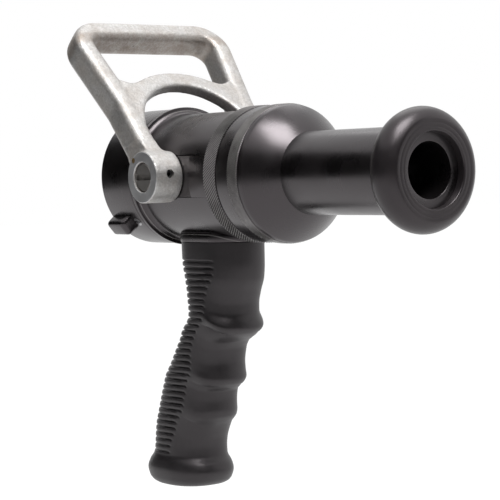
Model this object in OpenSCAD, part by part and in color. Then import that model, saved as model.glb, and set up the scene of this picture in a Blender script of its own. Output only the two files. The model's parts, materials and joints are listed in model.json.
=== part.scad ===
// Hand-line fire nozzle: inlet swivel, ball shutoff with a bail handle, pistol grip and smooth-bore tip.
// The origin is the centre of the inlet mouth. +X is the flow, +Z is up and the bail pivots about Y.

/* [Inlet swivel] */
// Length of the swivel coupling
coupling_len = 24.9; // [22:0.1:30]
// Wall of the coupling outside the spigot
coupling_wall = 5.65; // [4.6:0.05:8]
// Radius of the inlet thread at its crests
inlet_thread_r = 23.6; // [20:0.1:24]
// Length of the inlet thread
inlet_thread_len = 12.4; // [10:0.1:13]
// Thickness of the hose gasket
gasket_t = 3.2; // [2:0.1:3.4]
// Inner radius of the hose gasket
gasket_ir = 19.5; // [17:0.1:21]
// Number of balls in the swivel race
race_ball_count = 40; // [24:1:44]
// Diameter of a race ball
race_ball_d = 3.175; // [2.4:0.005:3.3]
// Distance of the race from the spigot's end
race_inset = 3; // [2.6:0.1:3.4]
// Diameter of the plug that closes the race
plug_d = 4.6; // [3.6:0.1:5]
// Number of rocker lugs
lug_count = 2; // [2:1:3]
// Angle of the first lug below the right side
lug_angle = 41; // [0:1:90]
// Height of a lug above the coupling
lug_h = 5.8; // [4:0.1:7]
// Width of a lug round the coupling
lug_w = 8.4; // [6:0.1:16]
// Length of a lug along the coupling
lug_len = 16; // [12:0.1:16.2]

/* [Valve body] */
// Radius of the waterway
waterway_r = 15.1; // [13:0.1:15.6]
// Wall of the body round the ball cavity
body_wall = 5.7; // [4.8:0.1:8]
// Wall of the spigot round the waterway
spigot_wall = 11.9; // [10.5:0.1:12.4]
// Height of the rear flange above the body
flange_step = 3.6; // [2:0.1:5]
// Thickness of the rear flange at its rim
flange_t = 1.9; // [1:0.1:3]
// Gap between the coupling and the rear flange
flange_gap = 1.1; // [0.6:0.1:2]
// Distance from the rear flange to the ball's centre
ball_setback = 25.2; // [24.6:0.1:32]
// Distance from the ball's centre to the body's front end
body_front = 31.4; // [28:0.1:40]
// Depth of the milled flat under each bail hub
flat_depth = 1.7; // [1:0.1:2]
// Half length of the milled flat
flat_half = 17.8; // [15:0.1:19]

/* [Ball and seats] */
// Radius of the ball
ball_r = 23.5; // [22.6:0.1:26]
// Gap between the ball and its cavity
cavity_gap = 0.5; // [0.4:0.1:1]
// Width of a seat ring, across its wall
seat_w = 4.85; // [4:0.05:5]
// Thickness of a seat behind the ball's land
seat_wall = 2.1; // [1.9:0.1:2.6]
// Reach of a seat over the ball
seat_reach = 3; // [2.6:0.1:3.4]
// Gap between a seat and the ball
seat_gap = 0.2; // [0.1:0.05:0.4]

/* [Stems] */
// Radius of a stem
stem_r = 6.8; // [6:0.1:7.2]
// Radius of the stem's inner shoulder
stem_shoulder_r = 8.5; // [8:0.1:9]
// Width of the slot in the stem's outer end
stem_slot_w = 2.7; // [2:0.1:3.2]
// Depth of the stem's outer end below the hub face
stem_recess = 0.7; // [0:0.1:1.5]
// Thickness of a stem washer
washer_t = 0.4; // [0.3:0.1:0.4]

/* [Bail] */
// Backward tilt of the bail when the valve is open
bail_tilt = 41; // [38:1:42]
// Forward tilt of the bail when the valve is shut
shut_tilt = 44; // [38:1:46]
// Radius of a hub
hub_r = 11.9; // [11:0.1:13.5]
// Length of a hub along the pivot
hub_len = 14.4; // [13:0.1:18]
// Width of an arm
arm_w = 10.4; // [9:0.1:11.4]
// Depth of an arm and of the crossbar
arm_d = 15; // [13:0.1:16]
// Corner radius of the bar section
bar_corner = 3.5; // [2:0.1:4.5]
// Distance of an arm's middle from its hub's inner face
arm_offset = 6.7; // [6.7:0.1:8]
// Height above the pivot at which the arms start to splay
knee_s = 42; // [38:1:46]
// Splay of each arm
arm_splay = 8; // [4:0.5:9]
// Height of the crossbar's middle above the pivot
bar_s = 91; // [84:0.1:106]
// Middle radius of the bends into the crossbar
bend_r = 11; // [9.4:0.1:14]
// Clearance of the arch over the knurled ring when shut
crown_gap = 1.2; // [0.8:0.1:2]
// Height of the arch at its crown
arch_h = 8.4; // [6:0.1:10]
// Radius of the arch's upper edge
arch_top_r = 45.3; // [40:0.1:52]
// Depth of the arch web
arch_d = 6.3; // [5:0.1:8]
// Distance of the arch web behind the arms' front faces
arch_inset = 0.5; // [0.3:0.1:4]

/* [Outlet collar] */
// Step of the collar's thread above the ball cavity
collar_step = 1.5; // [1:0.1:2]
// Height of the knurled rings above the body
knurl_step = 1.9; // [1:0.1:2.4]
// Length of the coarse knurled ring
collar_knurl_len = 9.1; // [7:0.1:12]
// Width of the groove behind the coarse knurled ring
collar_groove = 0.4; // [0.3:0.1:0.8]
// Radius of the outlet thread
outlet_thread_r = 24.9; // [22:0.1:25.2]
// Length of the outlet thread
outlet_thread_len = 14.9; // [13.5:0.1:16]

/* [Tip] */
// Radius of the outlet orifice
orifice_r = 11.906; // [9.525:0.001:13]
// Length of the straight bore behind the orifice
orifice_land = 22; // [12:0.5:30]
// Radius of the tip's tube
tube_r = 18.6; // [17.4:0.1:20]
// Length of the smooth band
band_len = 8.7; // [6:0.1:10]
// Depth of the smooth band below the knurled ring
band_step = 0.4; // [0.2:0.1:0.8]
// Length of the fine knurled ring
tip_knurl_len = 7.2; // [6:0.1:9]
// Length of the shoulder in front of the fine knurled ring
shoulder_len = 15.1; // [14:0.1:18]
// Radius of the rounded edge of the shoulder
shoulder_edge = 4; // [2:0.1:5]
// Length of the whole tip
tip_len = 106.4; // [100:0.1:130]
// Thickness of the tip gasket
tip_gasket_t = 3; // [2:0.1:3]

/* [Bumper] */
// Length of the bumper
bumper_len = 15.2; // [13:0.1:20]
// Outer radius of the bumper
bumper_r = 26.5; // [25:0.1:29]
// Radius of the bumper's flat end faces
bumper_face_r = 21.5; // [20.8:0.1:22.5]
// Radius of the opening in front of the orifice
recess_r = 16.04; // [15:0.02:17]
// Depth of the orifice below the bumper's front face
recess_depth = 3.7; // [2.5:0.1:5]

/* [Grip] */
// Length of the grip
grip_len = 118.3; // [100:0.1:140]
// Half width of the grip
grip_half_w = 15.5; // [14:0.1:20]
// Distance of the saddle's underside from the body
saddle_drop = 1.4; // [1.2:0.1:3]
// Height of the saddle's sides
saddle_h = 5.2; // [4:0.1:6]
// Radius of the tang that the grip slides on
tang_r = 5.5; // [4.5:0.1:6]
// Length of the tang below the saddle
tang_len = 60; // [50:1:66]
// Backward rake of the tang
grip_rake = 15; // [12:0.5:16]

/* [Fasteners] */
// Radius of a bail set screw
set_screw_r = 2; // [1.5:0.1:2.5]
// Radius of a bail pin
pin_r = 1.2; // [0.8:0.1:1.4]
// Radius of a saddle screw
saddle_screw_r = 2.5; // [2:0.1:3]
// Radius of the grip screw
grip_screw_r = 3; // [2.5:0.1:3.5]
// Length of the grip screw
grip_screw_len = 20; // [16:1:24]

/* [Clearances] */
// Radial clearance of a running fit
run_gap = 0.05; // [0.03:0.01:0.1]
// Clearance between parts that are fixed together
fit_gap = 0.1; // [0.05:0.05:0.2]
// Clearance between a thread's crests and the wall that they run in
thread_gap = 0.3; // [0.25:0.05:0.5]
// Gap between end faces
face_gap = 0.2; // [0.1:0.05:0.3]

/* [Hidden] */
$fn = 96;

anodised = "#1b1b1d";
casting = "#c9c9c6";
steel = "#8d8f92";
seal = "#2c2c2e";
ptfe = "#ecebe4";
moulding = "#333335";

// Stations along the flow
spigot_x = inlet_thread_len + gasket_t + 2 * face_gap + face_gap;
race_x = spigot_x + race_inset;
flange_x = coupling_len + flange_gap;
pivot_x = flange_x + ball_setback;
body_end = pivot_x + body_front;
ring_x = body_end + collar_groove;
ring_end = ring_x + collar_knurl_len;
tip_x = ring_end + thread_gap;
thread_end = ring_end + outlet_thread_len;
tip_seat_x = thread_end + thread_gap + tip_gasket_t;
tip_knurl_x = tip_x + band_len;
tip_knurl_end = tip_knurl_x + tip_knurl_len;
tube_x = tip_knurl_end + shoulder_len;
tip_end = tip_x + tip_len;
bumper_end = tip_end + recess_depth;

// Radii round the flow
spigot_r = waterway_r + spigot_wall;
coupling_r = spigot_r + run_gap + coupling_wall;
gasket_r = spigot_r - 1;
cavity_r = ball_r + cavity_gap;
body_r = cavity_r + body_wall;
flange_r = body_r + flange_step;
knurl_r = body_r + knurl_step;
band_r = knurl_r - band_step;
collar_r = cavity_r + collar_step;
seat_r = waterway_r + seat_w;

// Ball, seats and stems, measured from the ball's centre
land = sqrt(pow(ball_r + seat_gap, 2) - pow(waterway_r, 2));
seat_back = land + seat_wall;
seat_front = land - seat_reach;
pole = ball_r - 1.1;
slot_w = 8;
slot_depth = 3.2;
slot_half = 7.4;
shoulder_in = pole + fit_gap;
shoulder_out = cavity_r + 0.3;
stem_pocket_r = stem_shoulder_r + thread_gap;
flat_y = body_r - flat_depth;
hub_in = flat_y + washer_t + fit_gap;
hub_out = hub_in + hub_len;
stem_end = hub_out - stem_recess;
pocket_y = shoulder_out + thread_gap;
stem_ring_y = (pocket_y + flat_y) / 2;

// Small sections
ring_d = 1.6;
seat_ring_d = 1.7;
stem_ring_d = 1.3;
edge = 0.8;
groove_extra = 0.3;

// Shoulder of the tip
edge_turn = 35;
shoulder_arc_turn = 18;
shoulder_x = tip_knurl_end + 0.6;

// Bail, in its own plane: y across, s up from the pivot
arm_y = hub_in + arm_offset;
arm_in = arm_y - arm_w / 2;
bar_y = arm_y + (bar_s - knee_s) * tan(arm_splay);
bend_turn = 90 + arm_splay;
bend_run = bend_r * tan(bend_turn / 2);
bar_tuck = 0.6;
bar_relief = 0.05;
arch_in_r = arm_in + 0.8;
crown_s = (knurl_r + crown_gap + arm_d / 2 * sin(shut_tilt)) / cos(shut_tilt);
arch_s = crown_s - arch_in_r;
arch_top_s = crown_s + arch_h - arch_top_r;
arch_foot_s = arch_s + 7;
set_screw_turn = 34.5;
set_screw_out = hub_r - 1.3;
pin_s = hub_r - 1.5;
pin_len = 5;

// Grip, in the middle plane
grip_top = -(body_r + saddle_drop);
grip_x = pivot_x + 2.9;
tang_x = pivot_x + 4.8;
screw_pitch = 24;
head_h = 3.6;
head_r = 4.25;
head_seat = 2.6;
boss_half = screw_pitch / 2 + head_r + 1.25;
boss_w = 16;
boss_h = head_seat + head_h + 0.2;
boss_x = tang_x - 0.6;
washer_r = 7.4;
washer_h = 1.2;
shelf_h = 5;
shelf_z = -tang_len - face_gap;
cap_head_h = 6;
cap_head_r = 5;
counterbore_r = 8;

// Depth below the top, back, front and half width over the grip's own, of each ring of the grip
grip_rings = [
    [0, -23.3, 23.3, 0], [10, -22.9, 23.1, 0], [17, -20.9, 22.1, 0], [24.5, -18.5, 18.5, 0],
    [32, -17.7, 16.5, 0], [36, -18.1, 16.8, 0], [40, -20.7, 18.3, 0], [43, -22.7, 16.7, 0],
    [46.5, -24.2, 7.9, 0], [50.5, -27.3, 4.9, 0], [58, -33.3, 4.1, 0], [65, -38.6, 4.5, 0],
    [69, -40.4, 2.2, 0], [72, -41.8, -1.4, 0], [76, -43.6, -2.4, 0], [81, -45.3, -2.4, 0],
    [85, -46.4, -4.1, 0], [89, -47.7, -7.4, 0], [96.5, -49, -11.4, 0], [103.5, -50.4, -11.7, 0],
    [107.5, -53.6, -9.3, 1.4], [111.5, -55.3, -7.8, 2], [115.3, -53.8, -9.4, 1.5],
    [118.3, -48.9, -13.6, -1]];
grip_power = 2.4;
ring_points = 36;

module along_x() {
    rotate([90, 0, 90]) children();
}

module turned() {
    along_x() rotate_extrude() children();
}

// A torus round the flow
module o_ring(x, r, d) {
    translate([x, 0, 0]) turned() translate([r, 0]) circle(d = d, $fn = 32);
}

// A tube of the flow axis, from x0 to x1
module sleeve(x0, x1, r_out, r_in) {
    turned() translate([r_in, x0]) square([r_out - r_in, x1 - x0]);
}

module bore_x(x0, x1, r) {
    translate([x0, 0, 0]) rotate([0, 90, 0]) cylinder(r = r, h = x1 - x0);
}

module both_sides() {
    children();
    mirror([0, 1, 0]) children();
}

// Z becomes -Y at the pivot, so pieces of the right side are drawn upwards
module at_pivot() {
    translate([pivot_x, 0, 0]) rotate([90, 0, 0]) children();
}

module swivel_coupling() {
    color(anodised) difference() {
        union() {
            turned() polygon([
                [inlet_thread_r, 0], [coupling_r - edge, 0], [coupling_r, edge],
                [coupling_r, coupling_len - edge], [coupling_r - edge, coupling_len],
                [spigot_r + run_gap, coupling_len], [spigot_r + run_gap, spigot_x - face_gap],
                [gasket_r + face_gap, spigot_x - face_gap], [gasket_r + face_gap, inlet_thread_len],
                [inlet_thread_r, inlet_thread_len]]);
            for (i = [0 : lug_count - 1]) rotate([lug_angle + 360 * i / lug_count, 0, 0]) rocker_lug();
        }
        race_groove();
        rotate([lug_angle, 0, 0]) translate([race_x, 0, 0]) rotate([90, 0, 0])
            cylinder(d = plug_d + 2 * run_gap, h = coupling_r + lug_h);
    }
}

// The round track of the balls, half in the coupling and half in the spigot
module race_groove() {
    o_ring(race_x, spigot_r + run_gap / 2, race_ball_d + 2 * fit_gap);
}

// A lug on the -Y side, with a sloped front end and a foot sunk in the coupling
module rocker_lug() {
    foot = coupling_r - 2.2;
    crest = coupling_r + lug_h;
    translate([0, 0, -lug_w / 2]) linear_extrude(height = lug_w) polygon([
        [0.8, -foot], [lug_len, -foot], [lug_len, -coupling_r - 0.6], [lug_len - 3.4, -crest],
        [2, -crest], [0.8, -crest + 1.2]]);
}

module race_balls() {
    color(steel) for (i = [0 : race_ball_count - 1]) rotate([360 * i / race_ball_count, 0, 0])
        translate([race_x, -spigot_r - run_gap / 2, 0]) sphere(d = race_ball_d, $fn = 24);
}

module race_plug() {
    foot = spigot_r + race_ball_d / 2 + fit_gap + run_gap;
    slot = 0.9;
    color(steel) rotate([lug_angle, 0, 0]) translate([race_x, 0, 0]) rotate([90, 0, 0]) difference() {
        translate([0, 0, foot]) cylinder(d = plug_d, h = coupling_r - foot);
        translate([-plug_d, -slot / 2, coupling_r - 1]) cube([2 * plug_d, slot, 2]);
    }
}

module inlet_gasket() {
    x0 = inlet_thread_len + face_gap;
    color(seal) sleeve(x0, x0 + gasket_t, gasket_r, gasket_ir);
}

module swivel_o_ring() {
    color(seal) o_ring(swivel_ring_x(), spigot_r - ring_d / 2, ring_d);
}

function swivel_ring_x() = coupling_len - 1.9;

// A square groove for an o-ring in an outer wall of radius r
module ring_groove(x, r, d) {
    sleeve(x - d / 2 - 0.1, x + d / 2 + 0.1, r + 1, r - d - 0.05);
}

// The body's outer form from the rear flange forwards, grown by gap
module body_form(gap) {
    turned() difference() {
        polygon([[0, flange_x - gap], [flange_r + gap, flange_x - gap], [flange_r + gap, flange_x + flange_t + gap],
            [flange_r + gap, flange_x + flange_t + flange_step], [body_r + gap, flange_x + flange_t + flange_step],
            [body_r + gap, body_end + gap], [0, body_end + gap]]);
        translate([flange_r + gap, flange_x + flange_t + flange_step]) circle(r = flange_step);
    }
}

module valve_body() {
    pocket_x = pivot_x - seat_back - fit_gap;
    color(anodised) difference() {
        union() {
            body_form(0);
            sleeve(spigot_x, flange_x + 1, spigot_r, waterway_r);
        }
        bore_x(spigot_x - 1, body_end + 1, waterway_r);
        bore_x(pocket_x, pivot_x, seat_r + fit_gap);
        bore_x(pivot_x - seat_front, pivot_x + seat_back + 1, cavity_r);
        bore_x(pivot_x + seat_back, body_end + 1, collar_r + fit_gap);
        race_groove();
        ring_groove(swivel_ring_x(), spigot_r, ring_d);
        both_sides() at_pivot() {
            cylinder(r = stem_r + run_gap, h = body_r + 1);
            cylinder(r = stem_pocket_r, h = pocket_y);
            translate([-flat_half, -body_r, flat_y]) cube([2 * flat_half, 2 * body_r, body_r]);
        }
        for (side = [-1, 1]) translate([boss_x + side * screw_pitch / 2, 0, -body_r - 1])
            cylinder(r = saddle_screw_r, h = 1 + body_wall - 1.4);
    }
}

// A seat ring behind the ball, with a groove for its seal
module seat_ring() {
    color(ptfe) difference() {
        sleeve(pivot_x - seat_back, pivot_x - seat_front, seat_r, waterway_r);
        translate([pivot_x, 0, 0]) sphere(r = ball_r + seat_gap);
        ring_groove(seat_ring_x(), seat_r, seat_ring_d);
    }
}

function seat_ring_x() = pivot_x - seat_back + seat_ring_d / 2 + 0.6;

module rear_seat() {
    seat_ring();
}

module front_seat() {
    translate([2 * pivot_x, 0, 0]) mirror([1, 0, 0]) seat_ring();
}

module seat_o_rings() {
    color(seal) for (x = [seat_ring_x(), 2 * pivot_x - seat_ring_x()])
        o_ring(x, seat_r - seat_ring_d / 2, seat_ring_d);
}

module ball() {
    color("#b9bcc0") difference() {
        translate([pivot_x, 0, 0]) sphere(r = ball_r);
        bore_x(pivot_x - ball_r - 1, pivot_x + ball_r + 1, waterway_r);
        both_sides() at_pivot() {
            translate([-ball_r, -ball_r, pole]) cube([2 * ball_r, 2 * ball_r, ball_r]);
            translate([-slot_half, -slot_w / 2, pole - slot_depth]) cube([2 * slot_half, slot_w, ball_r]);
        }
    }
}

module stem() {
    color("#5d5f63") at_pivot() difference() {
        union() {
            translate([-slot_half + fit_gap, -slot_w / 2 + fit_gap, pole - slot_depth + fit_gap])
                cube([2 * (slot_half - fit_gap), slot_w - 2 * fit_gap, slot_depth + 0.5]);
            translate([0, 0, shoulder_in]) cylinder(r = stem_shoulder_r, h = shoulder_out - shoulder_in);
            rotate_extrude() polygon([[0, shoulder_in], [stem_r, shoulder_in], [stem_r, stem_end - edge],
                [stem_r - edge, stem_end], [0, stem_end]]);
        }
        rotate_extrude() translate([stem_r - stem_ring_d - 0.05, stem_ring_y - stem_ring_d / 2 - 0.1])
            square([stem_ring_d + 1, stem_ring_d + 0.2]);
        translate([-stem_r - 1, -stem_slot_w / 2, stem_end - 1.8]) cube([2 * stem_r + 2, stem_slot_w, 3]);
    }
}

module stem_right() {
    stem();
}

module stem_left() {
    mirror([0, 1, 0]) stem();
}

module stem_o_rings() {
    color(seal) both_sides() at_pivot() translate([0, 0, stem_ring_y]) rotate_extrude()
        translate([stem_r - stem_ring_d / 2, 0]) circle(d = stem_ring_d, $fn = 32);
}

module stem_washers() {
    color(ptfe) both_sides() at_pivot() translate([0, 0, flat_y + fit_gap / 2]) difference() {
        cylinder(r = hub_r - 1.4, h = washer_t);
        translate([0, 0, -1]) cylinder(r = stem_r + fit_gap, h = washer_t + 2);
    }
}

// The bail's plane: x is its depth, y across and z up from the pivot
module bail_plane() {
    translate([pivot_x, 0, 0]) rotate([0, -bail_tilt, 0]) children();
}

// The bar's rounded section, with its depth along x
module bar_section() {
    half_d = arm_d / 2 - bar_corner;
    half_w = arm_w / 2 - bar_corner;
    square([arm_d, 2 * half_w], center = true);
    square([2 * half_d, arm_w], center = true);
    for (sx = [-1, 1]) for (sy = [-1, 1]) translate([sx * half_d, sy * half_w]) circle(r = bar_corner);
}

// One arm on the -Y side, from the hub to the end of its bend
module bail_arm() {
    slant = (bar_s - knee_s) / cos(arm_splay) - bend_run;
    translate([0, -arm_y, 0]) {
        linear_extrude(height = knee_s + 0.4) bar_section();
        translate([0, 0, knee_s]) rotate([arm_splay, 0, 0]) {
            translate([0, 0, -0.4]) linear_extrude(height = slant + 0.4) bar_section();
            translate([0, bend_r, slant]) rotate([90, 0, -90])
                rotate_extrude(angle = bend_turn) translate([bend_r, 0]) rotate(90) bar_section();
        }
    }
}

// The bar's straight middle, a hair slimmer than the two bends that its ends sit in
module crossbar() {
    half = bar_y - bend_run + bar_tuck;
    translate([0, -half, bar_s]) rotate([-90, 0, 0]) linear_extrude(height = 2 * half)
        scale(1 - 2 * bar_relief / arm_d) bar_section();
}

// The arch that ties the arms together, close behind their front faces
module arch_web() {
    reach = arm_in + 4;
    translate([arm_d / 2 - arch_inset - arch_d, 0, 0]) rotate([90, 0, 90])
        linear_extrude(height = arch_d) difference() {
            intersection() {
                translate([0, arch_top_s]) circle(r = arch_top_r);
                translate([-reach, arch_foot_s]) square([2 * reach, crown_s]);
            }
            translate([0, arch_s]) circle(r = arch_in_r);
        }
}

module hub_blank() {
    translate([0, -hub_in, 0]) rotate([90, 0, 0]) cylinder(r = hub_r, h = hub_len);
}

// Places a radial piece on the hub's front side, drawn along +Z from the pivot
module at_set_screw() {
    translate([0, -arm_y, 0]) rotate([0, 90 + set_screw_turn, 0]) children();
}

module at_bail_pin() {
    translate([0, -hub_out, pin_s]) rotate([-90, 0, 0]) children();
}

module bail() {
    color(casting) bail_plane() difference() {
        union() {
            both_sides() {
                bail_arm();
                hub_blank();
            }
            crossbar();
            arch_web();
        }
        both_sides() {
            rotate([90, 0, 0]) cylinder(r = stem_r + run_gap, h = hub_out + 1);
            at_set_screw() cylinder(r = set_screw_r + run_gap, h = hub_r + 8);
            at_bail_pin() translate([0, 0, -1]) cylinder(r = pin_r + run_gap, h = pin_len + 1 + fit_gap);
        }
    }
}

module bail_set_screws() {
    foot = stem_r + fit_gap;
    color(steel) bail_plane() both_sides() at_set_screw() difference() {
        translate([0, 0, foot]) cylinder(r = set_screw_r, h = set_screw_out - foot);
        translate([0, 0, set_screw_out - 2]) cylinder(r = set_screw_r * 0.58, h = 3, $fn = 6);
    }
}

module bail_pins() {
    color("#b08a4a") bail_plane() both_sides() at_bail_pin() cylinder(r = pin_r, h = pin_len);
}

module outlet_collar() {
    nose_x = pivot_x + seat_front + 0.5;
    color(anodised) difference() {
        turned() polygon([
            [waterway_r, nose_x], [cavity_r - face_gap, nose_x],
            [cavity_r - face_gap, pivot_x + seat_back + face_gap], [collar_r, pivot_x + seat_back + face_gap],
            [collar_r, body_end], [body_r - 1.2, body_end], [body_r - 1.2, ring_x], [knurl_r - 0.4, ring_x],
            [knurl_r, ring_x + 0.4], [knurl_r, ring_end - 0.4], [knurl_r - 0.4, ring_end],
            [outlet_thread_r, ring_end], [outlet_thread_r, thread_end - edge],
            [outlet_thread_r - edge, thread_end], [waterway_r, thread_end]]);
        bore_x(nose_x - 1, pivot_x + seat_back + fit_gap, seat_r + fit_gap);
        ring_groove(collar_ring_x(), collar_r, ring_d);
    }
}

function collar_ring_x() = pivot_x + seat_back + 2.4;

module collar_o_ring() {
    color(seal) o_ring(collar_ring_x(), collar_r - ring_d / 2, ring_d);
}

module tip_gasket() {
    color(seal) sleeve(tip_seat_x - tip_gasket_t, tip_seat_x, outlet_thread_r, waterway_r + 0.9);
}

// The shoulder turns in from the knurled ring on a small edge radius, then runs on a long arc
function shoulder_edge_points() = [for (i = [0 : 6]) let (a = edge_turn * i / 6)
    [band_r - shoulder_edge * (1 - cos(a)), shoulder_x + shoulder_edge * sin(a)]];

// Points on an arc from p to q that turns by shoulder_arc_turn and bulges outwards
function bulge_points(p, q) = let (
        d = q - p,
        chord = norm(d),
        r = chord / 2 / sin(shoulder_arc_turn / 2),
        u = d / chord,
        n = [u[1], -u[0]],
        c = (p + q) / 2 - n * r * cos(shoulder_arc_turn / 2))
    [for (i = [1 : 12]) let (a = shoulder_arc_turn * (i / 12 - 0.5)) c + r * (n * cos(a) + u * sin(a))];

module smooth_bore_tip() {
    rib_x = tip_end - 3.8;
    edge_points = shoulder_edge_points();
    color(anodised) turned() polygon(concat(
        [[outlet_thread_r + thread_gap, tip_x], [band_r - 0.4, tip_x], [band_r, tip_x + 0.4],
            [band_r, tip_knurl_x], [knurl_r, tip_knurl_x + 0.4], [knurl_r, tip_knurl_end - 0.3],
            [band_r, tip_knurl_end]],
        edge_points,
        bulge_points(edge_points[6], [tube_r, tube_x]),
        [[tube_r, rib_x - 3], [tube_r + 1.8, rib_x - 3], [tube_r + 1.8, rib_x], [tube_r, rib_x],
            [tube_r, tip_end], [orifice_r, tip_end], [orifice_r, tip_end - orifice_land],
            [waterway_r, tip_seat_x + 4], [waterway_r, tip_seat_x],
            [outlet_thread_r + thread_gap, tip_seat_x]]));
}

module tip_bumper() {
    half = bumper_len / 2;
    rise = bumper_r - bumper_face_r;
    r = (half * half + rise * rise) / (2 * rise);
    mid = bumper_end - half;
    rib_x = tip_end - 3.8;
    color(seal) difference() {
        turned() union() {
            intersection() {
                translate([bumper_r - r, mid]) circle(r = r);
                translate([recess_r, mid - half]) square([bumper_r, bumper_len]);
            }
            translate([recess_r, mid - half]) square([bumper_face_r - recess_r, bumper_len]);
        }
        bore_x(mid - half - 1, tip_end + run_gap, tube_r + run_gap);
        bore_x(rib_x - 3 - run_gap, rib_x + run_gap, tube_r + 1.8 + run_gap);
    }
}

// One ring of the grip, a rounded oval
function grip_ring(row) = let (
        a = (row[2] - row[1]) / 2,
        mid = (row[2] + row[1]) / 2,
        b = grip_half_w + row[3],
        z = -row[0] * grip_len / grip_rings[len(grip_rings) - 1][0])
    [for (i = [0 : ring_points - 1]) let (t = 360 * i / ring_points, p = 2 / grip_power)
        [mid + a * sign(cos(t)) * pow(abs(cos(t)), p), b * sign(sin(t)) * pow(abs(sin(t)), p), z]];

module grip_form() {
    count = len(grip_rings);
    points = [for (row = grip_rings) for (p = grip_ring(row)) p];
    sides = [for (k = [0 : count - 2]) for (i = [0 : ring_points - 1])
        let (j = (i + 1) % ring_points, a = k * ring_points, b = a + ring_points)
        for (f = [[a + i, b + i, b + j], [a + i, b + j, a + j]]) f];
    top = [for (i = [0 : ring_points - 1]) i];
    bottom = [for (i = [0 : ring_points - 1]) count * ring_points - 1 - i];
    polyhedron(points, concat(sides, [top], [bottom]));
}

// The tang's line, drawn from the top of the grip downwards along -Z
module tang_line() {
    translate([tang_x - grip_x, 0, 0]) rotate([0, grip_rake, 0]) children();
}

module at_grip() {
    translate([grip_x, 0, grip_top]) children();
}

module saddle_boss(gap) {
    translate([boss_x - grip_x - boss_half - gap, -boss_w / 2 - gap, -boss_h - gap])
        cube([2 * (boss_half + gap), boss_w + 2 * gap, boss_h + gap + 1]);
}

module grip() {
    color(moulding) at_grip() difference() {
        grip_form();
        saddle_boss(fit_gap);
        tang_line() {
            translate([0, 0, shelf_z]) cylinder(r = tang_r + fit_gap, h = tang_len + 2);
            translate([0, 0, shelf_z - shelf_h - 1]) cylinder(r = grip_screw_r + 0.3, h = shelf_h + 2);
            translate([0, 0, -2 * grip_len]) cylinder(r = counterbore_r, h = 2 * grip_len + shelf_z - shelf_h);
        }
    }
}

module grip_saddle() {
    first = grip_rings[0];
    end_r = grip_half_w;
    color(anodised) difference() {
        at_grip() union() {
            linear_extrude(height = saddle_h) {
                for (x = [first[1] + end_r, first[2] - end_r]) translate([x, 0]) circle(r = end_r);
                translate([first[1] + end_r, -end_r]) square([first[2] - first[1] - 2 * end_r, 2 * end_r]);
            }
            saddle_boss(0);
            tang_line() translate([0, 0, -tang_len]) cylinder(r = tang_r, h = tang_len);
        }
        body_form(run_gap);
        at_grip() tang_line() translate([0, 0, -tang_len - 1]) cylinder(r = grip_screw_r, h = grip_screw_len);
        for (side = [-1, 1]) translate([boss_x + side * screw_pitch / 2, 0, grip_top]) {
            translate([0, 0, -boss_h - 1]) cylinder(r = saddle_screw_r + fit_gap, h = boss_h + 10);
            translate([0, 0, -boss_h - 1]) cylinder(r = head_r + face_gap, h = boss_h + 1 - head_seat);
        }
    }
}

module saddle_screws() {
    color(steel) for (side = [-1, 1]) translate([boss_x + side * screw_pitch / 2, 0, grip_top - head_seat])
        difference() {
            union() {
                translate([0, 0, -head_h]) cylinder(r = head_r, h = head_h);
                cylinder(r = saddle_screw_r - run_gap, h = head_seat + saddle_drop + body_wall - 1.8);
            }
            translate([0, 0, -head_h - 1]) cylinder(r = 2.3, h = 3, $fn = 6);
        }
}

module grip_washer() {
    color(steel) at_grip() tang_line() translate([0, 0, shelf_z - shelf_h - washer_h]) difference() {
        cylinder(r = washer_r, h = washer_h);
        translate([0, 0, -1]) cylinder(r = grip_screw_r + 0.3, h = washer_h + 2);
    }
}

module grip_screw() {
    color(steel) at_grip() tang_line() translate([0, 0, shelf_z - shelf_h - washer_h]) difference() {
        union() {
            translate([0, 0, -cap_head_h]) cylinder(r = cap_head_r, h = cap_head_h);
            cylinder(r = grip_screw_r - run_gap, h = grip_screw_len);
        }
        translate([0, 0, -cap_head_h - 1]) cylinder(r = 2.9, h = 4, $fn = 6);
    }
}

swivel_coupling();
race_balls();
race_plug();
inlet_gasket();
swivel_o_ring();
valve_body();
rear_seat();
front_seat();
seat_o_rings();
ball();
stem_right();
stem_left();
stem_o_rings();
stem_washers();
bail();
bail_set_screws();
bail_pins();
outlet_collar();
collar_o_ring();
tip_gasket();
smooth_bore_tip();
tip_bumper();
grip_saddle();
saddle_screws();
grip();
grip_washer();
grip_screw();
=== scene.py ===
import bmesh
import bpy
import json
import math
from mathutils import Matrix, Vector


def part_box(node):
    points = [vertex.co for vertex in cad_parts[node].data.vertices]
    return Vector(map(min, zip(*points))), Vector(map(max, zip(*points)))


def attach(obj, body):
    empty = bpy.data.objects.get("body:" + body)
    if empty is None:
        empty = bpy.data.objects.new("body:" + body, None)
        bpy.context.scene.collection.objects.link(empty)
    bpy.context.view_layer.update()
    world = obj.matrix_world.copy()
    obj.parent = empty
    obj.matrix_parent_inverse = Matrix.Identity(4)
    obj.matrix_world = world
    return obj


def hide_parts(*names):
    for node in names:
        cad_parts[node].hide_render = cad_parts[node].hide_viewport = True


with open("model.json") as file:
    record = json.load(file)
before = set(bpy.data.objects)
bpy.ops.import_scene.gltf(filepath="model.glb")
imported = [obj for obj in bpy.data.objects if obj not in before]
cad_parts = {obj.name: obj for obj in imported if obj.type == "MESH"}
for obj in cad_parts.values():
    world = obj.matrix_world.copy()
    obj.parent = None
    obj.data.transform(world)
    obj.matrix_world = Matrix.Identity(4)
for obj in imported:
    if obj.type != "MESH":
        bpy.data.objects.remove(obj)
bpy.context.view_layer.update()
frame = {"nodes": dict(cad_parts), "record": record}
mm = 0.001
# The bail pivots at pivotX and leans back by bailTilt degrees
pivotX, bailTilt = 51.2, 41


def lowX(node):
    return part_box(node)[0].x / mm


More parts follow.
